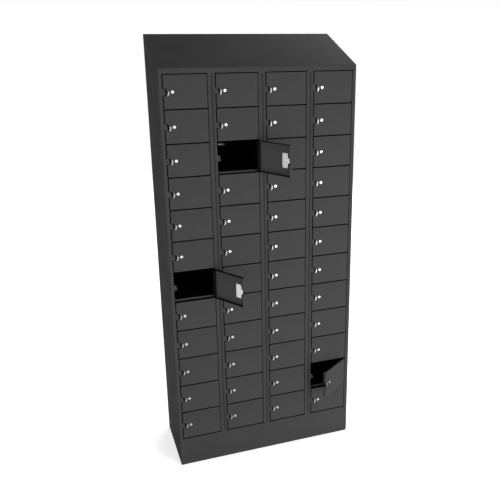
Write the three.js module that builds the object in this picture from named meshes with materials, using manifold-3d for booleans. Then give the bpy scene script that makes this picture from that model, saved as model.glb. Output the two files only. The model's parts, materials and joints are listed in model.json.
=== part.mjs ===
// Cell-phone charging locker: a bank of small steel doors with a sloping hood and a closed plinth.
// Millimetres, +Z up, front facing -Y, origin on the floor under the middle of the cabinet.
import * as THREE from "three";
import { mergeVertices } from "three/addons/utils/BufferGeometryUtils.js";
import Module from "manifold-3d";

const wasm = await Module();
wasm.setup();

// ---- Driving dimensions ----
const COLUMNS = 4;
const ROWS = 12;
const WIDTH = 915;
const DEPTH = 372;
const COLUMN_PITCH = 229;
const ROW_PITCH = 150;
const FIRST_ROW_Z = 155; // middle of the gap under the lowest doors
const BASE_TOP = 140;
const FRAME_TOP = 1978;
const HOOD_RISE = 125;
const SHEET = 2; // carcass steel
const FIT = 0.3; // clearance between pieces that meet

const FRAME_DEPTH = 16;
const OPENING_WIDTH = 194.4;
const GAP = 3; // reveal at the sides of a closed door
const ROW_GAP = 5; // reveal between doors of one column
const TAB_RADIUS = 10;
const TAB_CENTRE = 4; // from the edge of the stile
const TAB_THICKNESS = 2;

const SKIN = 1.5; // door steel
const PAN_DEPTH = 13.5;
const NOTCH_RADIUS = 16;
const NOTCH_CENTRE = 9; // from the free edge of the door
const CASE = { from: 18, to: 50, height: 74, depth: 11 };
const BOLT = { from: 12.4, height: 29, near: 5, depth: 4 };
const LOCK = { radius: 7, at: 37.5, proud: 1.5 };
const LEAF_THICKNESS = 1.2;
const LEAF_LENGTH = 110;

const SHELF = 1.6;
const DUCT = 36; // wiring space behind the compartments
const MODULE = { width: 46, height: 26, depth: 9 };

const OPEN_WIDE = 123; // degrees
const OPEN_AJAR = 36;
const OPEN_DOORS = { "2_3": OPEN_WIDE, "1_7": OPEN_WIDE, "4_11": OPEN_AJAR };

// ---- Derived places ----
const FRONT = -DEPTH / 2;
const BACK = DEPTH / 2;
const DOOR_WIDTH = OPENING_WIDTH - 2 * GAP;
const DOOR_HEIGHT = ROW_PITCH - ROW_GAP;
const STILE = COLUMN_PITCH - OPENING_WIDTH;
const FIRST_OPENING_X = -(COLUMNS * OPENING_WIDTH + (COLUMNS - 1) * STILE) / 2;
const COMB_FRONT = FRONT + FRAME_DEPTH + FIT;
const COMB_BACK = BACK - SHEET - FIT;
const SHELF_BACK = BACK - DUCT;
const openingX = (column) => FIRST_OPENING_X + (column - 1) * COLUMN_PITCH;
const rowZ = (row) => FIRST_ROW_Z + (ROWS - row + 0.5) * ROW_PITCH;

// ---- Finishes ----
const finish = (color, roughness, metalness) =>
  new THREE.MeshStandardMaterial({ color, roughness, metalness });
const charcoal = finish(0x414243, 0.55, 0.0);
const zinc = finish(0xb9babb, 0.35, 1.0);
const plated = finish(0x8d8f91, 0.5, 1.0);

// ---- Shape helpers ----
function box(x0, x1, y0, y1, z0, z1) {
  const g = new THREE.BoxGeometry(x1 - x0, y1 - y0, z1 - z0);
  return g.translate((x0 + x1) / 2, (y0 + y1) / 2, (z0 + z1) / 2);
}

// An outline in X and Z, given thickness along +Y from yFront.
function plate(shape, thickness, yFront, curveSegments = 6) {
  const g = new THREE.ExtrudeGeometry(shape, {
    depth: thickness,
    bevelEnabled: false,
    curveSegments,
  });
  return g.rotateX(Math.PI / 2).translate(0, yFront + thickness, 0);
}

function solid(geometry) {
  const g = geometry.clone();
  g.deleteAttribute("normal");
  g.deleteAttribute("uv");
  const m = mergeVertices(g, 1e-4);
  return new wasm.Manifold(
    new wasm.Mesh({
      numProp: 3,
      vertProperties: new Float32Array(m.attributes.position.array),
      triVerts: new Uint32Array(m.index.array),
    }),
  );
}

function geometryOf(manifold) {
  const m = manifold.getMesh();
  const positions = new Float32Array(m.numVert * 3);
  for (let i = 0; i < m.numVert; i++) {
    positions.set(m.vertProperties.subarray(i * m.numProp, i * m.numProp + 3), i * 3);
  }
  const g = new THREE.BufferGeometry();
  g.setAttribute("position", new THREE.BufferAttribute(positions, 3));
  g.setIndex(new THREE.BufferAttribute(new Uint32Array(m.triVerts), 1));
  g.computeVertexNormals();
  return g;
}

const join = (geometries) =>
  geometries.map(solid).reduce((whole, next) => whole.add(next));

function named(name, manifold, material) {
  const mesh = new THREE.Mesh(geometryOf(manifold), material);
  mesh.name = name;
  return mesh;
}

// ---- Door: hinge axis on the local Z axis, door lying along -X, inner side towards +Y ----
const DOOR_LEFT = -GAP / 2 - DOOR_WIDTH;
const DOOR_RIGHT = -GAP / 2;

function doorPan() {
  const top = DOOR_HEIGHT / 2;
  const pan = solid(box(DOOR_LEFT, DOOR_RIGHT, 0, PAN_DEPTH, -top, top));
  const inside = box(
    DOOR_LEFT + SKIN,
    DOOR_RIGHT - SKIN,
    SKIN,
    PAN_DEPTH + 1,
    -top + SKIN,
    top - SKIN,
  );
  const notch = new THREE.CylinderGeometry(NOTCH_RADIUS, NOTCH_RADIUS, 60, 14);
  notch.translate(DOOR_LEFT + NOTCH_CENTRE, 0, 0);
  return pan.subtract(solid(inside)).subtract(solid(notch));
}

function doorLock() {
  const cylinder = new THREE.CylinderGeometry(LOCK.radius, LOCK.radius, LOCK.proud + SKIN, 10);
  cylinder.translate(DOOR_LEFT + LOCK.at, (SKIN - LOCK.proud) / 2, 0);
  const halfCase = CASE.height / 2;
  const caseBox = box(
    DOOR_LEFT + CASE.from,
    DOOR_LEFT + CASE.to,
    SKIN / 2,
    CASE.depth,
    -halfCase,
    halfCase,
  );
  const halfBolt = BOLT.height / 2;
  const bolt = box(
    DOOR_LEFT + BOLT.from,
    DOOR_LEFT + CASE.from + 1,
    BOLT.near,
    BOLT.near + BOLT.depth,
    -halfBolt,
    halfBolt,
  );
  return join([cylinder, caseBox, bolt]);
}

// Strip of the hinge that is fixed to the door, lying in the reveal round the hinge axis.
function doorHingeLeaf() {
  const half = LEAF_LENGTH / 2;
  return solid(box(DOOR_RIGHT - SKIN / 2, 0.7, 0.3, 0.3 + LEAF_THICKNESS, -half, half));
}

const doorGeometry = geometryOf(doorPan().add(doorLock()).add(doorHingeLeaf()));

function door(column, row) {
  const key = `${column}_${row}`;
  const mesh = new THREE.Mesh(doorGeometry, charcoal);
  mesh.name = `door_c${column}_r${String(row).padStart(2, "0")}`;
  mesh.position.set(openingX(column) + OPENING_WIDTH - GAP / 2, FRONT, rowZ(row));
  mesh.rotation.z = THREE.MathUtils.degToRad(OPEN_DOORS[key] ?? 0);
  return mesh;
}

// ---- Face frame with a strike tab for each lock ----
function faceFrame() {
  const low = FIRST_ROW_Z - GAP / 2;
  const high = FIRST_ROW_Z + ROWS * ROW_PITCH + GAP / 2;
  let frame = solid(box(-WIDTH / 2, WIDTH / 2, FRONT, FRONT + FRAME_DEPTH, BASE_TOP, FRAME_TOP));
  for (let c = 1; c <= COLUMNS; c++) {
    const x = openingX(c);
    frame = frame.subtract(solid(box(x, x + OPENING_WIDTH, FRONT - 1, 0, low, high)));
  }
  for (let c = 1; c <= COLUMNS; c++) {
    for (let r = 1; r <= ROWS; r++) {
      frame = frame.add(solid(strikeTab(openingX(c), rowZ(r))));
    }
  }
  return frame;
}

function strikeTab(x, z) {
  const half = Math.acos((-TAB_CENTRE - 1) / TAB_RADIUS);
  const points = [];
  const steps = 5;
  for (let i = 0; i <= steps; i++) {
    const angle = -half + (2 * half * i) / steps;
    const px = x + TAB_CENTRE + TAB_RADIUS * Math.cos(angle);
    points.push(new THREE.Vector2(px, z + TAB_RADIUS * Math.sin(angle)));
  }
  const s = new THREE.Shape(points);
  return plate(s, TAB_THICKNESS, FRONT);
}

// ---- Carcass ----
function wrapper() {
  const s = new THREE.Shape();
  const x = WIDTH / 2;
  s.moveTo(-x, COMB_FRONT);
  s.lineTo(-x + SHEET, COMB_FRONT);
  s.lineTo(-x + SHEET, BACK - SHEET);
  s.lineTo(x - SHEET, BACK - SHEET);
  s.lineTo(x - SHEET, COMB_FRONT);
  s.lineTo(x, COMB_FRONT);
  s.lineTo(x, BACK);
  s.lineTo(-x, BACK);
  s.closePath();
  const depth = FRAME_TOP - BASE_TOP;
  const g = new THREE.ExtrudeGeometry(s, { depth, bevelEnabled: false });
  return solid(g.translate(0, 0, BASE_TOP));
}

const partitionX = (column) =>
  column === 1 ? -WIDTH / 2 + SHEET + FIT : openingX(column) - STILE / 2 - SHELF / 2;
const columnEnd = (column) =>
  column === COLUMNS ? WIDTH / 2 - SHEET - FIT : partitionX(column + 1) - FIT;

// One upright partition with the shelves welded to it.
function comb(column) {
  const x = partitionX(column);
  const end = columnEnd(column);
  const low = BASE_TOP + FIT;
  const s = new THREE.Shape();
  s.moveTo(x, low);
  s.lineTo(x + SHELF, low);
  for (let k = 0; k <= ROWS; k++) {
    const z = FIRST_ROW_Z + k * ROW_PITCH;
    s.lineTo(x + SHELF, z - SHELF / 2);
    s.lineTo(end, z - SHELF / 2);
    s.lineTo(end, z + SHELF / 2);
    s.lineTo(x + SHELF, z + SHELF / 2);
  }
  s.lineTo(x + SHELF, FRAME_TOP);
  s.lineTo(x, FRAME_TOP);
  const blank = solid(plate(s, COMB_BACK - COMB_FRONT, COMB_FRONT));
  const duct = box(x + SHELF, end + 1, SHELF_BACK - FIT, BACK, 0, FRAME_TOP + 1);
  return blank.subtract(solid(duct));
}

// Rear plate of one column, carrying a charging outlet for each compartment.
function chargingPlate(column) {
  const x0 = partitionX(column) + SHELF + FIT;
  const x1 = columnEnd(column);
  const middle = (openingX(column) * 2 + OPENING_WIDTH) / 2;
  const low = FIRST_ROW_Z;
  const pieces = [box(x0, x1, SHELF_BACK, SHELF_BACK + SHELF, low, low + ROWS * ROW_PITCH)];
  for (let r = 1; r <= ROWS; r++) {
    const z = rowZ(r);
    pieces.push(
      box(
        middle - MODULE.width / 2,
        middle + MODULE.width / 2,
        SHELF_BACK - MODULE.depth,
        SHELF_BACK + SHELF / 2,
        z - MODULE.height / 2,
        z + MODULE.height / 2,
      ),
    );
  }
  return join(pieces);
}

function hood() {
  const wedge = (inset, drop) => {
    const s = new THREE.Shape();
    const slope = HOOD_RISE / DEPTH;
    const lift = inset * Math.sqrt(1 + slope * slope);
    const z0 = FRAME_TOP + FIT;
    const front = FRONT + (inset ? lift / slope : 0);
    s.moveTo(front, z0 - drop);
    s.lineTo(BACK - inset, z0 - drop);
    s.lineTo(BACK - inset, FRAME_TOP + HOOD_RISE - lift - inset * slope);
    s.lineTo(front, z0);
    s.closePath();
    const length = WIDTH - 2 * inset;
    const g = new THREE.ExtrudeGeometry(s, { depth: length, bevelEnabled: false });
    // Profile runs along Y and Z; its length is laid along X.
    g.rotateX(Math.PI / 2);
    g.rotateZ(Math.PI / 2);
    return solid(g.translate(-length / 2, 0, 0));
  };
  return wedge(0, 0.001).subtract(wedge(SHEET, 5));
}

// Closed plinth tray: four walls on a floor sheet.
function base() {
  const x = WIDTH / 2;
  const t = SHEET;
  const outer = solid(box(-x, x, FRONT, BACK, 0, BASE_TOP - FIT));
  const inside = box(-x + t, x - t, FRONT + t, BACK - t, t, BASE_TOP + 1);
  return outer.subtract(solid(inside));
}

// ---- Assembly ----
const group = new THREE.Group();
group.add(named("base_plinth", base(), charcoal));
group.add(named("carcass_wrapper", wrapper(), charcoal));
group.add(named("face_frame", faceFrame(), charcoal));
group.add(named("hood", hood(), charcoal));
for (let c = 1; c <= COLUMNS; c++) {
  group.add(named(`shelf_comb_c${c}`, comb(c), charcoal));
  group.add(named(`charging_plate_c${c}`, chargingPlate(c), c % 2 ? plated : zinc));
  for (let r = 1; r <= ROWS; r++) {
    group.add(door(c, r));
  }
}

export default group;
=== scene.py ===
import json
import math

import bmesh
import bpy
from mathutils import Matrix, Vector


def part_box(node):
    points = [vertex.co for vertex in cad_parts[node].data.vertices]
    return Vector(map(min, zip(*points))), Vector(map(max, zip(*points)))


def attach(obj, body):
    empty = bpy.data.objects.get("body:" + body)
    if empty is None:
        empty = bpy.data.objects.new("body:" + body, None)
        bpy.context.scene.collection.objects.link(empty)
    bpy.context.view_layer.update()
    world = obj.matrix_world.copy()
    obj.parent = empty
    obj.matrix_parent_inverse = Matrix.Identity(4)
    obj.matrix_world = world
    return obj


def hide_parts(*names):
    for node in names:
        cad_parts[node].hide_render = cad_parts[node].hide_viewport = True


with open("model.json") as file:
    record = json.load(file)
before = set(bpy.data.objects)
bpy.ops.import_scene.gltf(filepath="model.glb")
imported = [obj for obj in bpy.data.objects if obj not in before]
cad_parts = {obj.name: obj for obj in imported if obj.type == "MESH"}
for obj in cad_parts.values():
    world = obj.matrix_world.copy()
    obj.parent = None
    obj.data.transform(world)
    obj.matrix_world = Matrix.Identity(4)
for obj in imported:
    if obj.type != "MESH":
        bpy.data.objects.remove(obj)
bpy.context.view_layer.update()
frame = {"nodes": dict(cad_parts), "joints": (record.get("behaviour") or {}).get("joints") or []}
joints = {j["child"]: j for j in frame["joints"]}
scene = bpy.context.scene
MM = 0.001

# ---- Places read from the CAD frame ----
frame_lo, frame_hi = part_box("face_frame")
base_lo, base_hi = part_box("base_plinth")
hood_lo, hood_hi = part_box("hood")
FRONT, BACK = base_lo.y, base_hi.y
HALF = base_hi.x
COLUMNS, ROWS = 4, 12
GAP = 3 * MM  # between a door's hinge edge and the frame; the hinge axis runs along its middle
DOOR_W, DOOR_H = 188.4 * MM, 144.6 * MM
OPEN_W = 196.2 * MM  # wider than the door by the hinge gap and a thicker gap at the free edge
LEFT = -GAP / 2 - DOOR_W  # a door's free edge, from its hinge axis


def joint_of(c, r):
    return joints[f"locker_door_c{c}_r{r:02d}"]


def hinge_x(c):
    return joint_of(c, 1)["pos_m"][0]


def opening_x(c):
    """Both edges of a column's opening: the free side, then the hinge side."""
    x1 = hinge_x(c) + GAP / 2
    return x1 - OPEN_W, x1


def row_z(r):
    return joint_of(1, r)["pos_m"][2]


PITCH_Z = row_z(1) - row_z(2)
OPEN_LO, OPEN_HI = row_z(ROWS) - PITCH_Z / 2 - GAP, row_z(1) + PITCH_Z / 2 + GAP / 2


# ---- Materials: noise scales are in cells per metre ----
CLOUD_SCALE, GLOSS_SCALE, RUB_SCALE = 4.0, 14.0, 34.0
PEEL_SCALE, PEEL_DEPTH = 620.0, 0.6 * MM
SPECK_SCALE, SPECK_RANGE = 900.0, (0.86, 1.1)
WORN_GAIN = 1.25
COAT_SPECULAR = 0.012
BLOTCH_SCALE, BLOTCH_SHARE = 45.0, 0.45
SCRATCH_STRENGTH, SCRATCH_DEPTH = 0.08, 0.3 * MM


def new_material(name):
    m = bpy.data.materials.new(name)
    m.use_nodes = True
    nt = m.node_tree
    return m, nt, nt.nodes["Principled BSDF"]


def ramp(nt, fac, stops):
    n = nt.nodes.new("ShaderNodeValToRGB")
    n.color_ramp.elements[0].position, n.color_ramp.elements[0].color = stops[0][0], (*stops[0][1], 1)
    n.color_ramp.elements[1].position, n.color_ramp.elements[1].color = stops[-1][0], (*stops[-1][1], 1)
    for pos, col in stops[1:-1]:
        e = n.color_ramp.elements.new(pos)
        e.color = (*col, 1)
    nt.links.new(fac, n.inputs["Fac"])
    return n.outputs["Color"]


def noise(nt, scale, detail=3.0, rough=0.5, stretch=None):
    tc = nt.nodes.new("ShaderNodeTexCoord")
    n = nt.nodes.new("ShaderNodeTexNoise")
    n.inputs["Scale"].default_value = scale
    n.inputs["Detail"].default_value = detail
    n.inputs["Roughness"].default_value = rough
    out = tc.outputs["Object"]
    if stretch:
        mp = nt.nodes.new("ShaderNodeMapping")
        mp.inputs["Scale"].default_value = stretch
        nt.links.new(out, mp.inputs["Vector"])
        out = mp.outputs["Vector"]
    nt.links.new(out, n.inputs["Vector"])
    return n.outputs["Fac"]


def mix(nt, a, b, fac, kind="MIX"):
    n = nt.nodes.new("ShaderNodeMix")
    n.data_type = "RGBA"
    n.blend_type = kind
    if isinstance(fac, float):
        n.inputs[0].default_value = fac
    else:
        nt.links.new(fac, n.inputs[0])
    for socket, v in ((n.inputs[6], a), (n.inputs[7], b)):
        if isinstance(v, tuple):
            socket.default_value = (*v, 1)
        else:
            nt.links.new(v, socket)
    return n.outputs[2]


def powder_coat(name, low, high, roughness, rubbed=0.35, peel=0.06):
    """Fine orange-peel coat: grain in the bump, cloudy tone and faint rubbed patches."""
    m, nt, b = new_material(name)
    cloud = ramp(nt, noise(nt, CLOUD_SCALE, 4.0, 0.55), [(0.3, low), (0.7, high)])
    darkest, lightest = SPECK_RANGE
    speck = ramp(nt, noise(nt, SPECK_SCALE, 2.0, 0.6), [(0.35, (darkest,) * 3), (0.65, (lightest,) * 3)])
    tone = mix(nt, cloud, speck, 1.0, "MULTIPLY")
    rub = ramp(nt, noise(nt, RUB_SCALE, 6.0, 0.7), [(0.66, (0, 0, 0)), (0.8, (rubbed,) * 3)])
    worn = tuple(min(1.0, WORN_GAIN * v) for v in high)
    nt.links.new(mix(nt, tone, worn, rub), b.inputs["Base Color"])
    gloss = [(0.3, (roughness - 0.05,) * 3), (0.7, (roughness + 0.07,) * 3)]
    r = ramp(nt, noise(nt, GLOSS_SCALE, 5.0, 0.6), gloss)
    nt.links.new(r, b.inputs["Roughness"])
    b.inputs["Specular IOR Level"].default_value = COAT_SPECULAR
    bump = nt.nodes.new("ShaderNodeBump")
    bump.inputs["Strength"].default_value = peel
    bump.inputs["Distance"].default_value = PEEL_DEPTH
    nt.links.new(noise(nt, PEEL_SCALE, 2.0, 0.5), bump.inputs["Height"])
    nt.links.new(bump.outputs["Normal"], b.inputs["Normal"])
    return m


def metal(name, low, high, roughness, stretch, grain=300.0):
    """Plated steel: streaks of tone and gloss along one direction with a fine scratch bump."""
    m, nt, b = new_material(name)
    streak = noise(nt, grain, 3.0, 0.6, stretch)
    blotch = noise(nt, BLOTCH_SCALE, 4.0, 0.6)
    stops = [(0.3, low), (0.7, high)]
    tone = mix(nt, ramp(nt, streak, stops), ramp(nt, blotch, stops), BLOTCH_SHARE)
    nt.links.new(tone, b.inputs["Base Color"])
    b.inputs["Metallic"].default_value = 1.0
    r = ramp(nt, streak, [(0.3, (roughness - 0.06,) * 3), (0.7, (roughness + 0.1,) * 3)])
    nt.links.new(r, b.inputs["Roughness"])
    bump = nt.nodes.new("ShaderNodeBump")
    bump.inputs["Strength"].default_value = SCRATCH_STRENGTH
    bump.inputs["Distance"].default_value = SCRATCH_DEPTH
    nt.links.new(streak, bump.inputs["Height"])
    nt.links.new(bump.outputs["Normal"], b.inputs["Normal"])
    return m


DOOR_COAT = powder_coat("door_coat", (0.0310, 0.0312, 0.0314), (0.0350, 0.0352, 0.0354), 0.60)
CASE_COAT = powder_coat("cabinet_coat", (0.0300, 0.0302, 0.0304), (0.0340, 0.0342, 0.0344), 0.62)
# Painted light: a lighter copy of the door coat, for the doors' inner face.
DOOR_INNER_PAINTED_LIGHT = powder_coat("door_inner_coat", (0.050, 0.0503, 0.0506), (0.056, 0.0563, 0.0566), 0.62)
# Painted shade: a darker copy of the cabinet coat, for the flanks and the mullion grooves.
SIDE_SHADE_COAT = powder_coat("side_coat", (0.0170, 0.0172, 0.0174), (0.0198, 0.0200, 0.0202), 0.62)
# Near-black coat of the compartments, also painted shade on door rims, notch walls and channel faces.
INSIDE_AND_SHADE = powder_coat("inside_coat", (0.0035, 0.0035, 0.0037), (0.006, 0.006, 0.0062), 0.72, 0.1)
# Black mouldings of hinges, outlets and inlet; also painted shade behind the notch, in the keyway and in
# screw recesses.
BLACK_AND_SHADE = powder_coat("black_moulding", (0.006, 0.006, 0.0065), (0.010, 0.010, 0.011), 0.5, 0.15, 0.12)
DARK_STEEL = metal("dark_screw", (0.05, 0.05, 0.052), (0.09, 0.09, 0.092), 0.45, (1, 1, 6))
ZINC = metal("zinc_plate", (0.62, 0.62, 0.62), (0.76, 0.76, 0.76), 0.45, (1, 6, 1))
NOTCH_PLATE = metal("notch_plate", (0.27, 0.27, 0.27), (0.36, 0.36, 0.36), 0.5, (1, 1, 6), 400.0)
NICKEL = metal("nickel", (0.31, 0.31, 0.305), (0.40, 0.40, 0.39), 0.45, (1, 1, 5), 500.0)


# ---- Mesh helpers ----
FLANK_DEPTH, FLANK_NORMAL = 4 * MM, 0.75  # a face this near the side, and this square to it, is flank and gets the painted shade


def link(name, mesh):
    o = bpy.data.objects.new(name, mesh)
    scene.collection.objects.link(o)
    return o


def final_mesh(o, name):
    """The object's mesh with its modifiers applied; the object itself is dropped."""
    if o.type == "MESH":
        o.data.shade_smooth()
    dg = bpy.context.evaluated_depsgraph_get()
    dg.update()
    m = bpy.data.meshes.new_from_object(o.evaluated_get(dg), depsgraph=dg)
    m.name = name
    data = o.data
    bpy.data.objects.remove(o)
    if data.users == 0 and isinstance(data, bpy.types.Mesh):
        bpy.data.meshes.remove(data)
    return m


def bevel(o, width, segments, angle=35):
    b = o.modifiers.new("bevel", "BEVEL")
    b.width, b.segments = width, segments
    b.limit_method, b.angle_limit = "ANGLE", math.radians(angle)
    w = o.modifiers.new("normals", "WEIGHTED_NORMAL")
    w.mode, w.weight, w.keep_sharp = "FACE_AREA", 80, False


def box_bm(bm, x0, x1, y0, y1, z0, z1, material=0):
    m = Matrix.Translation(((x0 + x1) / 2, (y0 + y1) / 2, (z0 + z1) / 2)) @ Matrix.Diagonal(
        (x1 - x0, y1 - y0, z1 - z0, 1)
    )
    made = bmesh.ops.create_cube(bm, size=1, matrix=m)["verts"]
    for f in {f for v in made for f in v.link_faces}:
        f.material_index = material


def disc_bm(bm, x, z, y0, y1, r, segments, material=0):
    """A short cylinder along Y."""
    m = Matrix.Translation((x, (y0 + y1) / 2, z)) @ Matrix.Rotation(math.radians(90), 4, "X")
    made = bmesh.ops.create_cone(
        bm, cap_ends=True, segments=segments, radius1=r, radius2=r, depth=y1 - y0, matrix=m
    )["verts"]
    for f in {f for v in made for f in v.link_faces}:
        f.material_index = material


def from_bm(bm, name, width, segments):
    """The finished mesh with its edges rounded to a width in a number of segments."""
    me = bpy.data.meshes.new(name)
    bm.normal_update()
    bm.to_mesh(me)
    bm.free()
    o = link(name, me)
    bevel(o, width, segments)
    return final_mesh(o, name)


def flat_mesh(name, loops, y0, y1, width):
    """A plate in X and Z between y0 and y1, with holes and a rounded edge, from closed outlines."""
    cu = bpy.data.curves.new(name, "CURVE")
    cu.dimensions, cu.fill_mode = "2D", "BOTH"
    cu.extrude, cu.bevel_depth, cu.bevel_resolution = (y1 - y0) / 2 - width, width, 2
    cu.offset = -width
    for loop in loops:
        s = cu.splines.new("POLY")
        s.points.add(len(loop) - 1)
        for p, (x, z) in zip(s.points, loop):
            p.co = (x, z, 0, 1)
        s.use_cyclic_u = True
    o = link(name, cu)
    m = final_mesh(o, name)
    bpy.data.curves.remove(cu)
    m.transform(Matrix.Translation((0, (y0 + y1) / 2, 0)) @ Matrix.Rotation(math.radians(90), 4, "X"))
    return m


def sharpen(mesh, angle):
    """Smooth shading for plates that come from curves and carry no weighted normals."""
    mesh.shade_smooth()
    mesh.set_sharp_from_angle(angle=math.radians(angle))
    return mesh


def paint_side_shade(mesh):
    """The cabinet's flanks carry a slightly darker coat than its front, top and back: painted shade."""
    mesh.materials.append(CASE_COAT)
    mesh.materials.append(SIDE_SHADE_COAT)
    for p in mesh.polygons:
        outside = abs(p.center.x) > HALF - FLANK_DEPTH
        p.material_index = 1 if outside and abs(p.normal.x) > FLANK_NORMAL else 0
    return mesh


def piece(name, mesh, materials, body, matrix=None, replaces=()):
    o = link(name, mesh)
    if matrix is not None:
        o.matrix_world = matrix
    if not mesh.materials:
        for m in materials:
            mesh.materials.append(m)
    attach(o, body)
    if replaces:
        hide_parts(*replaces)
    return o


def arc(cx, cz, r, a0, a1, n):
    """Points of a circle in X and Z from angle a0 to a1 in degrees, in n steps."""
    angles = [math.radians(a0 + (a1 - a0) * i / n) for i in range(n + 1)]
    return [(cx + r * math.cos(a), cz + r * math.sin(a)) for a in angles]


# ---- Camera: the photograph's view, from the left and above ----
CAMERA_AT = (-0.9101, FRONT - 3.0368, 2.2374)
HEADING, TILT, ROLL = (math.radians(a) for a in (21.493, -19.082, 0.759))
cam = bpy.data.objects.new("camera", bpy.data.cameras.new("camera"))
scene.collection.objects.link(cam)
scene.camera = cam
cam.data.sensor_width, cam.data.lens = 36, 49.949
cam.data.shift_x, cam.data.shift_y = -0.1392, -0.0091
cam.data.clip_start, cam.data.clip_end = 0.05, 3000
cam.matrix_world = (
    Matrix.Translation(CAMERA_AT)
    @ Matrix.Rotation(-HEADING, 4, "Z")
    @ Matrix.Rotation(math.radians(90) + TILT, 4, "X")
    @ Matrix.Rotation(ROLL, 4, "Z")
)


# ---- Door panel: one folded sheet with a finger notch at the lock ----
SKIN = 1.5 * MM
PAN = 13.5 * MM  # depth of the folded edges
FLANGE_END = 16.5 * MM  # the free edge's fold starts this far above and below the lock
FLANGE_ROOT = 1.2 * MM
# The notch, its plate and the strike tab are outlined in millimetres from an edge and the lock's height.
NOTCH = [(0, 13.7), (8, 13.7)] + arc(10.8, -5.8, 14.6, 68, -62, 16) + [(0, -14.2)]
NOTCH_REACH, NOTCH_LOW, NOTCH_HIGH = 32 * MM, -21 * MM, 14.5 * MM
RIM = 2 * MM
FACE_DEPTH = 0.12 * MM  # the rim carries painted shade, the near-black coat, behind this depth
INNER_DEPTH = 1.2 * MM  # and the sheet's inner face carries a lighter coat, painted light, behind this one
TOUCH = 1e-7


def door_mesh():
    top, rt = DOOR_H / 2, -GAP / 2
    notch = [(LEFT + px * MM, pz * MM) for px, pz in NOTCH]
    ring = [(rt, -top), (rt, top), (LEFT, top)] + notch + [(LEFT, -top)]
    bm = bmesh.new()
    skin = [bm.verts.new((x, 0, z)) for x, z in ring]
    bm.faces.new(skin)
    back = {}
    for i, (x, z) in enumerate(ring):
        if abs(x - rt) < TOUCH or abs(abs(z) - top) < TOUCH:
            back[i] = bm.verts.new((x, PAN, z))
    n = len(ring)
    bm.faces.new([skin[0], back[0], back[1], skin[1]])
    bm.faces.new([skin[1], back[1], back[2], skin[2]])
    bm.faces.new([skin[n - 1], back[n - 1], back[0], skin[0]])
    # The free edge's flange stops above and below the notch.
    for i, j in ((2, 3), (n - 1, n - 2)):
        z = math.copysign(FLANGE_END, ring[j][1])
        end = bm.verts.new((LEFT, PAN, z))
        low = bm.verts.new((LEFT, FLANGE_ROOT, z))
        bm.faces.new([skin[i], back[i], end, low, skin[j]])
    bmesh.ops.recalc_face_normals(bm, faces=bm.faces)
    bm.normal_update()
    if next(f for f in bm.faces if len(f.verts) > 8).normal.y > 0:
        bmesh.ops.reverse_faces(bm, faces=bm.faces)
    me = bpy.data.meshes.new("door")
    bm.to_mesh(me)
    bm.free()
    o = link("door", me)
    s = o.modifiers.new("sheet", "SOLIDIFY")
    s.thickness, s.offset = SKIN, -1
    s.use_even_offset = True
    bevel(o, 0.55 * MM, 3, 40)
    m = final_mesh(o, "door")
    for mat in (DOOR_COAT, INSIDE_AND_SHADE, DOOR_INNER_PAINTED_LIGHT):
        m.materials.append(mat)
    # Painted shade on the folded rims and notch walls; painted light on the inner face.
    for p in m.polygons:
        on_rim = abs(p.center.z) > top - RIM or p.center.x > rt - RIM
        by_notch = p.center.x < LEFT + NOTCH_REACH and NOTCH_LOW < p.center.z < NOTCH_HIGH
        if (on_rim and p.center.y > FACE_DEPTH) or (by_notch and abs(p.normal.y) < 0.4):
            p.material_index = 1
        elif p.center.y > INNER_DEPTH and p.center.x > LEFT + RIM:
            p.material_index = 2
    return m


# ---- Lock: crescent plate, case and cylinder ----
LIP_EDGE = arc(-12.9, -1.0, 33, 14.7, -34.3, 7)
LIP_END = LEFT + 33.5 * MM
LIP_FRONT = (2.5 * MM, 2.0 * MM, 1.65 * MM)  # depth at the notch, in the middle and at the far end
LIP_BACK = (3.2 * MM, 2.7 * MM, 2.3 * MM)
LOCK_X = LEFT + 38.3 * MM
PLATE = (LEFT + 18.4 * MM, LEFT + 49 * MM, 4.0 * MM, 5.6 * MM, -33.5 * MM, 33.5 * MM)
BOLT = (LEFT + 10.8 * MM, LEFT + 19 * MM, 4.1 * MM, 5.4 * MM, -11.8 * MM, 11.8 * MM)
# A black box behind the notch: painted shade.
SHADE_POCKET = (LEFT + 10.1 * MM, LEFT + 34 * MM, 3.3 * MM, 3.95 * MM, -23 * MM, 17.4 * MM)
CASE_SCREWS = ((23, -28), (44, -28), (23, 28), (44, 28), (21, 8), (21, -8))
CASE_SCREW_R, CASE_SCREW_Y = 2.0 * MM, (5.4 * MM, 6.2 * MM)
BODY_R, BODY_Y = 6.0 * MM, (SKIN, 6.0 * MM)
COLLAR_R, COLLAR_Y = 6.6 * MM, (-1.1 * MM, 1.4 * MM)
FACE_R, FACE_Y = 5.0 * MM, (-1.45 * MM, -1.0 * MM)
KEYWAY_W, KEYWAY_H, KEYWAY_Y = 1.0 * MM, 5.6 * MM, (-1.5 * MM, -1.25 * MM)


def lip_mesh():
    """Bright dished plate that shows as a crescent on the right of the notch."""
    bm = bmesh.new()
    sections = []
    for px, pz in LIP_EDGE:
        x, z = LEFT + px * MM, pz * MM
        across = (x, (x + LIP_END) / 2, LIP_END)
        outline = list(zip(across, LIP_FRONT)) + list(zip(across[::-1], LIP_BACK[::-1]))
        sections.append([bm.verts.new((vx, vy, z)) for vx, vy in outline])
    for p, q in zip(sections, sections[1:]):
        for k in range(len(p)):
            m = (k + 1) % len(p)
            bm.faces.new([p[k], p[m], q[m], q[k]])
    bm.faces.new(sections[0])
    bm.faces.new(sections[-1])
    bmesh.ops.recalc_face_normals(bm, faces=bm.faces)
    return from_bm(bm, "lip", 0.12 * MM, 1)


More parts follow.
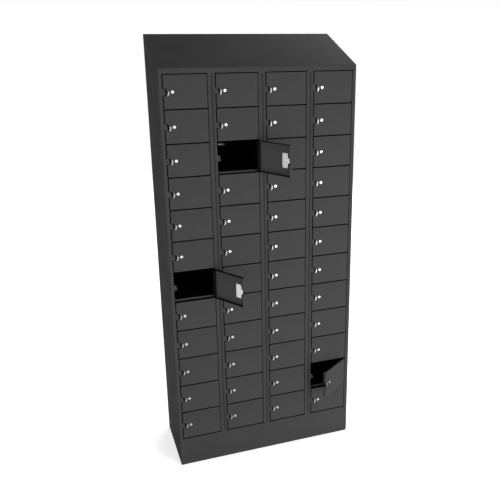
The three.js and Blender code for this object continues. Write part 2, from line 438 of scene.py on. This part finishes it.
def case_mesh():
    """Lock plate on the inner side with its bolt, body, screws and the dark pocket behind the notch, a
    black box that is painted shade.
    """
    bm = bmesh.new()
    box_bm(bm, *PLATE)
    box_bm(bm, *BOLT)
    disc_bm(bm, LOCK_X, 0, *BODY_Y, BODY_R, 24)
    for x, z in CASE_SCREWS:
        disc_bm(bm, LEFT + x * MM, z * MM, *CASE_SCREW_Y, CASE_SCREW_R, 16, 1)
    # Painted shade: the black box that darkens the notch.
    box_bm(bm, *SHADE_POCKET, 2)
    return from_bm(bm, "lock_case", 0.3 * MM, 2)


def cylinder_mesh():
    """Round lock cylinder in its collar, with a keyway drawn as a black bar: painted shade."""
    bm = bmesh.new()
    disc_bm(bm, LOCK_X, 0, *COLLAR_Y, COLLAR_R, 40)
    disc_bm(bm, LOCK_X, 0, *FACE_Y, FACE_R, 36)
    w, h = KEYWAY_W / 2, KEYWAY_H / 2
    # Painted shade: a black bar for the keyway slot.
    box_bm(bm, LOCK_X - w, LOCK_X + w, *KEYWAY_Y, -h, h, 1)
    return from_bm(bm, "lock_cylinder", 0.3 * MM, 3)


# ---- Hinge: knuckles in turn on the door and on the frame ----
KNUCKLES = 7
HINGE_LENGTH = 126 * MM
KNUCKLE_R, KNUCKLE_Y = 1.25 * MM, 0.2 * MM
KNUCKLE_GAP = 0.5 * MM
LEAF, LEAF_Y = 1.9 * MM, (0.5 * MM, 1.3 * MM)
INNER_LEAF = (-11 * MM, -3.1 * MM, 1.55 * MM, 2.9 * MM, -66 * MM, 66 * MM)


def knuckle_mesh(own):
    """Every second knuckle of a slim continuous hinge, with its strip of leaf."""
    bm = bmesh.new()
    step = HINGE_LENGTH / KNUCKLES
    for i in range(KNUCKLES):
        if (i % 2 == 0) != own:
            continue
        z0 = -HINGE_LENGTH / 2 + i * step + KNUCKLE_GAP / 2
        z1 = z0 + step - KNUCKLE_GAP
        m = Matrix.Translation((0, KNUCKLE_Y, (z0 + z1) / 2))
        bmesh.ops.create_cone(
            bm, cap_ends=True, segments=14, radius1=KNUCKLE_R, radius2=KNUCKLE_R, depth=z1 - z0, matrix=m
        )
        edge = -LEAF if own else LEAF
        box_bm(bm, min(0, edge), max(0, edge), *LEAF_Y, z0, z1)
    if own:
        box_bm(bm, *INNER_LEAF)
    return from_bm(bm, "knuckles", 0.15 * MM, 1)


DOOR, LIP, CASE, CYL = door_mesh(), lip_mesh(), case_mesh(), cylinder_mesh()
OWN, FIXED = knuckle_mesh(True), knuckle_mesh(False)
for c in range(1, COLUMNS + 1):
    for r in range(1, ROWS + 1):
        j = joint_of(c, r)
        tag, body = f"c{c}_r{r:02d}", j["child"]
        at = Matrix.Translation(j["pos_m"])
        here = at @ Matrix.Rotation(math.radians(-j["range_deg"][0]), 4, "Z")
        piece("panel_" + tag, DOOR, [DOOR_COAT], body, here, ["door_" + tag])
        piece("lock_case_" + tag, CASE, [ZINC, DARK_STEEL, BLACK_AND_SHADE], body, here)
        piece("lock_lip_" + tag, LIP, [NOTCH_PLATE], body, here)
        piece("lock_cylinder_" + tag, CYL, [NICKEL, BLACK_AND_SHADE], body, here)
        piece("hinge_door_half_" + tag, OWN, [BLACK_AND_SHADE], body, here)
        piece("hinge_frame_half_" + tag, FIXED, [BLACK_AND_SHADE], "cabinet", at)


# ---- Face frame: front plate with strike tabs, and channels behind it ----
TAB = [(0, 13.0)] + arc(8.3, 11.2, 1.8, 90, 10, 4) + arc(11.4, -10.4, 3.0, 10, -90, 6) + [(0, -13.4)]
PLATE_BACK = FRONT + 1.9 * MM
PLATE_FOOT = 1 * MM
MULLION = hinge_x(2) - hinge_x(1) - OPEN_W
GROOVE_HALF, GROOVE_OFF, GROOVE_END = 3.2 * MM, 3 * MM, 4 * MM
CHANNEL_BACK = FRONT + 16 * MM
UPRIGHT_Y, CROSS_MEMBER_Y = (FRONT + 0.6 * MM, CHANNEL_BACK), (FRONT + 1.2 * MM, CHANNEL_BACK)
CHANNEL_INSET, UPRIGHT_INSET, CHANNEL_TOP_GAP = 2 * MM, 0.05 * MM, 1 * MM
# Channel faces this near the front take the side coat's painted shade, deeper ones the near-black
# painted shade.
SHADE_COAT_DEPTH = 1 * MM


def opening_loop(c):
    x0, x1 = opening_x(c)
    loop = [(x1, OPEN_LO), (x1, OPEN_HI), (x0, OPEN_HI)]
    for r in range(1, ROWS + 1):
        loop += [(x0 + px * MM, row_z(r) + pz * MM) for px, pz in TAB]
    return loop + [(x0, OPEN_LO)]


def face_plate():
    loops = [[(-HALF, PLATE_FOOT), (HALF, PLATE_FOOT), (HALF, frame_hi.z), (-HALF, frame_hi.z)]]
    for c in range(1, COLUMNS + 1):
        loops.append(opening_loop(c))
        if c < COLUMNS:
            # The groove's floor is the upright behind it, in the darker side coat: painted shade.
            mid = opening_x(c)[1] + MULLION / 2 + GROOVE_OFF
            x0, x1 = mid - GROOVE_HALF, mid + GROOVE_HALF
            z0, z1 = OPEN_LO + GROOVE_END, OPEN_HI - GROOVE_END
            loops.append([(x0, z0), (x1, z0), (x1, z1), (x0, z1)])
    return sharpen(flat_mesh("face_plate", loops, FRONT, PLATE_BACK, 0.4 * MM), 40)


def channels():
    """Folded uprights and cross members behind the plate: the outer flanks at the front, seen in the
    mullion grooves, take the darker side coat and the rest the near-black coat, both painted shade.
    """
    bm = bmesh.new()
    left, right = -HALF + CHANNEL_INSET, HALF - CHANNEL_INSET
    stops = [left] + [x for c in range(1, COLUMNS + 1) for x in opening_x(c)] + [right]
    for x0, x1 in zip(stops[::2], stops[1::2]):
        box_bm(bm, x0 + UPRIGHT_INSET, x1 - UPRIGHT_INSET, *UPRIGHT_Y, OPEN_LO, OPEN_HI)
    box_bm(bm, left, right, *CROSS_MEMBER_Y, OPEN_HI, frame_hi.z - CHANNEL_TOP_GAP)
    box_bm(bm, left, right, *CROSS_MEMBER_Y, frame_lo.z, OPEN_LO)
    mesh = from_bm(bm, "channels", 0.35 * MM, 2)
    mesh.materials.append(SIDE_SHADE_COAT)
    mesh.materials.append(INSIDE_AND_SHADE)
    # Painted shade: darker side coat at the front, near-black coat behind.
    for p in mesh.polygons:
        p.material_index = 1 if p.center.y > FRONT + SHADE_COAT_DEPTH else 0
    return mesh


piece("face_plate", face_plate(), [CASE_COAT], "cabinet", None, ["face_frame"])
piece("frame_channels", channels(), [], "cabinet")


# ---- Folded carcass, plinth and hood ----
def sheet_piece(name, faces, thickness, width, inward=-1):
    """A sheet-metal shell from flat panels given as corner lists, with the folds rounded."""
    bm = bmesh.new()
    seen = {}

    def vert(p):
        key = tuple(round(v, 6) for v in p)
        if key not in seen:
            seen[key] = bm.verts.new(p)
        return seen[key]

    for f in faces:
        bm.faces.new([vert(p) for p in f])
    me = bpy.data.meshes.new(name)
    bm.normal_update()
    bm.to_mesh(me)
    bm.free()
    o = link(name, me)
    s = o.modifiers.new("sheet", "SOLIDIFY")
    s.thickness, s.offset, s.use_even_offset = thickness, inward, True
    bevel(o, width, 3, 30)
    return final_mesh(o, name)


SHEET, SHEET_FOLD = 2 * MM, 1.1 * MM
HOOD_SHEET, HOOD_FOLD = 1.5 * MM, 0.9 * MM
HOOD_EDGE = 1.2 * MM  # height of the hood's upright front edge
SEAM = 0.3 * MM  # between plinth and carcass


def walls(z0, z1):
    """Left, back and right wall between two heights, behind the front plate."""
    x, yf, yb = HALF, PLATE_BACK, BACK
    return [
        [(-x, yb, z0), (-x, yf, z0), (-x, yf, z1), (-x, yb, z1)],
        [(x, yb, z0), (-x, yb, z0), (-x, yb, z1), (x, yb, z1)],
        [(x, yf, z0), (x, yb, z0), (x, yb, z1), (x, yf, z1)],
    ]


def carcass():
    return sheet_piece("carcass_sheet", walls(base_hi.z + SEAM, frame_hi.z), SHEET, SHEET_FOLD)


def plinth():
    x, yf, yb, top = HALF, PLATE_BACK, BACK, base_hi.z
    front = [(-x, yf, 0), (x, yf, 0), (x, yf, top), (-x, yf, top)]
    bottom = [(-x, yf, 0), (-x, yb, 0), (x, yb, 0), (x, yf, 0)]
    return sheet_piece("plinth_tray", walls(0, top) + [front, bottom], SHEET, SHEET_FOLD)


def hood():
    x, yf, yb = HALF, FRONT, BACK
    low, edge, top = hood_lo.z, hood_lo.z + HOOD_EDGE, hood_hi.z
    faces = [
        [(-x, yf, edge), (x, yf, edge), (x, yb, top), (-x, yb, top)],
        [(-x, yf, low), (x, yf, low), (x, yf, edge), (-x, yf, edge)],
        [(-x, yb, low), (-x, yf, low), (-x, yf, edge), (-x, yb, top)],
        [(x, yf, low), (x, yb, low), (x, yb, top), (x, yf, edge)],
        [(x, yb, low), (-x, yb, low), (-x, yb, top), (x, yb, top)],
    ]
    return sheet_piece("hood_sheet", faces, HOOD_SHEET, HOOD_FOLD)


# The carcass, plinth and hood flanks get the painted shade.
for name, mesh, node in (
    ("carcass_sheet", carcass(), "carcass_wrapper"),
    ("plinth_tray", plinth(), "base_plinth"),
    ("hood_sheet", hood(), "hood"),
):
    piece(name, paint_side_shade(mesh), [], "cabinet", None, [node])


# ---- Inside: shelf edges and charging outlets; the shelves are the CAD's own ----
SHELF_EDGE_Y = (FRONT + 16.2 * MM, FRONT + 17.6 * MM)
SHELF_EDGE_UP, TOP_EDGE_UP, SHELF_EDGE_DOWN = 9.0 * MM, 1.0 * MM, 0.9 * MM
SHELF_EDGE_PAST = 4 * MM  # how far it reaches behind the frame on both sides


def shelf_lips():
    """The upturned front edge of every shelf, seen low in an open compartment."""
    bm = bmesh.new()
    for c in range(1, COLUMNS + 1):
        x0, x1 = opening_x(c)
        for k in range(ROWS + 1):
            z = row_z(1) + PITCH_Z / 2 - k * PITCH_Z
            up = SHELF_EDGE_UP if k else TOP_EDGE_UP
            left, right = x0 - SHELF_EDGE_PAST, x1 + SHELF_EDGE_PAST
            box_bm(bm, left, right, *SHELF_EDGE_Y, z - SHELF_EDGE_DOWN, z + up)
    return from_bm(bm, "shelf_lips", 0.4 * MM, 2)


piece("shelf_lips", shelf_lips(), [CASE_COAT], "cabinet")

for c in range(1, COLUMNS + 1):
    for n in (f"shelf_comb_c{c}", f"charging_plate_c{c}"):
        mats = frame["nodes"][n].data.materials
        mats.clear()
        mats.append(INSIDE_AND_SHADE)

HOUSING_HALF_W, HOUSING_HALF_H = 23.4 * MM, 13.4 * MM
SOCKETS_X = (-11 * MM, 7 * MM)
SOCKET_HALF_W, SOCKET_HALF_H = 7 * MM, 3.4 * MM
TONGUE_HALF_W, TONGUE_Z = 5.6 * MM, (-0.8 * MM, 1.6 * MM)
LENS_X, LENS_R = 18 * MM, 1.6 * MM
HOUSING_PROUD, SOCKET_PROUD, TONGUE_PROUD, LENS_PROUD = 0.6 * MM, 1.4 * MM, 1.6 * MM, 1.3 * MM
HOUSING_DEPTH = 9.5 * MM


def outlets(c):
    """Charging outlets of one column: a bevelled housing with two sockets and a status lens each."""
    bm = bmesh.new()
    mid = sum(opening_x(c)) / 2
    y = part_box(f"charging_plate_c{c}")[0].y
    for r in range(1, ROWS + 1):
        z = row_z(r)
        w, h = HOUSING_HALF_W, HOUSING_HALF_H
        box_bm(bm, mid - w, mid + w, y - HOUSING_PROUD, y + HOUSING_DEPTH, z - h, z + h)
        for x in (mid + dx for dx in SOCKETS_X):
            w, h = SOCKET_HALF_W, SOCKET_HALF_H
            box_bm(bm, x - w, x + w, y - SOCKET_PROUD, y, z - h, z + h, 1)
            w, (low, high) = TONGUE_HALF_W, TONGUE_Z
            box_bm(bm, x - w, x + w, y - TONGUE_PROUD, y, z + low, z + high)
        disc_bm(bm, mid + LENS_X, z, y - LENS_PROUD, y, LENS_R, 14, 1)
    return from_bm(bm, f"outlets_c{c}", 0.5 * MM, 2)


for c in range(1, COLUMNS + 1):
    piece(f"charging_outlets_c{c}", outlets(c), [BLACK_AND_SHADE, ZINC], "cabinet")


# ---- Back: service panel, vents, mains inlet; sizes in metres ----
PANEL_HALF_W, PANEL_LOW, PANEL_HIGH = 0.40, 0.19, 1.93
VENTS_X, VENTS_Z = (-0.26, 0.0, 0.26), (0.34, 1.70)
SLOTS, SLOT_PITCH, SLOT_HALF_W, SLOT_R = 9, 0.016, 0.075, 0.003
SCREWS, SCREW_X, SCREW_LOW, SCREW_HIGH = 6, 0.385, 0.215, 1.905
SCREW_R, SCREW_Y = 2.6 * MM, (BACK + 1.9 * MM, BACK + 3.6 * MM)
# The cross recess is drawn as black bars on each head: painted shade.
CROSS_LONG, CROSS_SHORT = 1.9 * MM, 0.5 * MM
CROSS_Y = (BACK + 3.4 * MM, BACK + 3.75 * MM)
INLET_X, INLET_Z = 0.33, 0.075
FLANGE_HALF_W, FLANGE_HALF_H, FLANGE_Y = 25 * MM, 15 * MM, (BACK, BACK + 3 * MM)
WALL_X, WALL_Z, WALL_HALF = 14 * MM, 11 * MM, 1.5 * MM
WALL_Y = (BACK + 2.5 * MM, BACK + 7 * MM)
PINS = ((-7 * MM, -2 * MM), (7 * MM, -2 * MM), (0, 3 * MM))
PIN_HALF_W, PIN_HALF_H, PIN_Y = 1 * MM, 2.5 * MM, (BACK + 2.5 * MM, BACK + 6 * MM)
INLET_SCREW_X, INLET_SCREW_Y = 20 * MM, (BACK + 2.8 * MM, BACK + 4.4 * MM)


def vent_slot(x, z):
    """A vent slot with round ends."""
    return arc(x - SLOT_HALF_W, z, SLOT_R, 90, 270, 8) + arc(x + SLOT_HALF_W, z, SLOT_R, -90, 90, 8)


def back_panel():
    w, low, high = PANEL_HALF_W, PANEL_LOW, PANEL_HIGH
    loops = [[(-w, low), (w, low), (w, high), (-w, high)]]
    loops += [vent_slot(x, z + i * SLOT_PITCH) for z in VENTS_Z for i in range(SLOTS) for x in VENTS_X]
    return sharpen(flat_mesh("service_panel", loops, BACK, BACK + 2 * MM, 0.35 * MM), 40)


def back_screws():
    bm = bmesh.new()
    a, b = CROSS_SHORT, CROSS_LONG
    for i in range(SCREWS):
        z = SCREW_LOW + i * (SCREW_HIGH - SCREW_LOW) / (SCREWS - 1)
        for x in (-SCREW_X, SCREW_X):
            disc_bm(bm, x, z, *SCREW_Y, SCREW_R, 20)
            # Painted shade: black bars for the cross recess.
            box_bm(bm, x - a, x + a, *CROSS_Y, z - b, z + b, 1)
            box_bm(bm, x - b, x + b, *CROSS_Y, z - a, z + a, 1)
    return from_bm(bm, "panel_screws", 0.4 * MM, 2)


def mains_inlet():
    """Inlet for the mains lead: a flange with a raised wall, two screws and three pins."""
    bm = bmesh.new()
    cx, cz = INLET_X, INLET_Z
    w, h = FLANGE_HALF_W, FLANGE_HALF_H
    box_bm(bm, cx - w, cx + w, *FLANGE_Y, cz - h, cz + h)
    w, h, t = WALL_X, WALL_Z, WALL_HALF
    for s in (-1, 1):
        box_bm(bm, cx + s * w - t, cx + s * w + t, *WALL_Y, cz - h, cz + h)
        box_bm(bm, cx - w, cx + w, *WALL_Y, cz + s * h - t, cz + s * h + t)
        disc_bm(bm, cx + s * INLET_SCREW_X, cz, *INLET_SCREW_Y, SCREW_R, 18, 1)
    for dx, dz in PINS:
        x, z = cx + dx, cz + dz
        w, h = PIN_HALF_W, PIN_HALF_H
        box_bm(bm, x - w, x + w, *PIN_Y, z - h, z + h, 1)
    return from_bm(bm, "mains_inlet", 0.5 * MM, 2)


piece("service_panel", back_panel(), [CASE_COAT], "cabinet")
piece("panel_screws", back_screws(), [ZINC, BLACK_AND_SHADE], "cabinet")
piece("mains_inlet", mains_inlet(), [BLACK_AND_SHADE, ZINC], "cabinet")


# ---- Stage and light: a pale floor that fades into a pale sky ----
FLOOR_SIZE = 1200
FLOOR_GLOW = 0.62
SKY_STRENGTH = 0.98
SKY_STOPS = [(0.0, (1, 1, 1)), (0.06, (1, 1, 1)), (0.3, (0.45, 0.45, 0.45))]


def stage_floor():
    mat, nt, b = new_material("stage_floor")
    tone = ramp(nt, noise(nt, 0.8, 2.0), [(0.3, (0.93, 0.93, 0.93)), (0.7, (0.95, 0.95, 0.95))])
    nt.links.new(tone, b.inputs["Base Color"])
    nt.links.new(tone, b.inputs["Emission Color"])
    b.inputs["Emission Strength"].default_value = FLOOR_GLOW
    b.inputs["Roughness"].default_value = 0.9
    b.inputs["Specular IOR Level"].default_value = 0.1
    bm = bmesh.new()
    bmesh.ops.create_grid(bm, x_segments=1, y_segments=1, size=FLOOR_SIZE)
    mesh = bpy.data.meshes.new("stage_floor")
    bm.to_mesh(mesh)
    bm.free()
    mesh.materials.append(mat)
    return link("stage_floor", mesh)


def sky():
    """White at the horizon, greyer overhead."""
    world = bpy.data.worlds.new("studio")
    world.use_nodes = True
    nt = world.node_tree
    tc = nt.nodes.new("ShaderNodeTexCoord")
    split = nt.nodes.new("ShaderNodeSeparateXYZ")
    nt.links.new(tc.outputs["Generated"], split.inputs["Vector"])
    background = nt.nodes["Background"]
    nt.links.new(ramp(nt, split.outputs["Z"], SKY_STOPS), background.inputs["Color"])
    background.inputs["Strength"].default_value = SKY_STRENGTH
    return world


stage_floor()
scene.world = sky()


def area(name, at, towards, size, power):
    """A round soft light; places and size in metres, power in watts."""
    light = bpy.data.lights.new(name, "AREA")
    light.shape, light.size, light.energy = "DISK", size, power
    o = bpy.data.objects.new(name, light)
    scene.collection.objects.link(o)
    o.location = at
    o.rotation_mode = "QUATERNION"
    o.rotation_quaternion = (Vector(towards) - Vector(at)).to_track_quat("-Z", "Y")


area("key", (2.4, -5.2, 1.15), (0, 0, 0.85), 2.6, 236)
area("top", (1.3, 0.3, 2.9), (0.1, 0, 2.05), 0.5, 40)
area("rear", (2.4, 5.0, 2.2), (0, 0, 1.0), 2.4, 110)
area("low", (1.3, -2.7, 0.4), (0.1, 0, 0.5), 1.2, 34)
scene.view_settings.view_transform = "Standard"
scene.view_settings.look = "None"
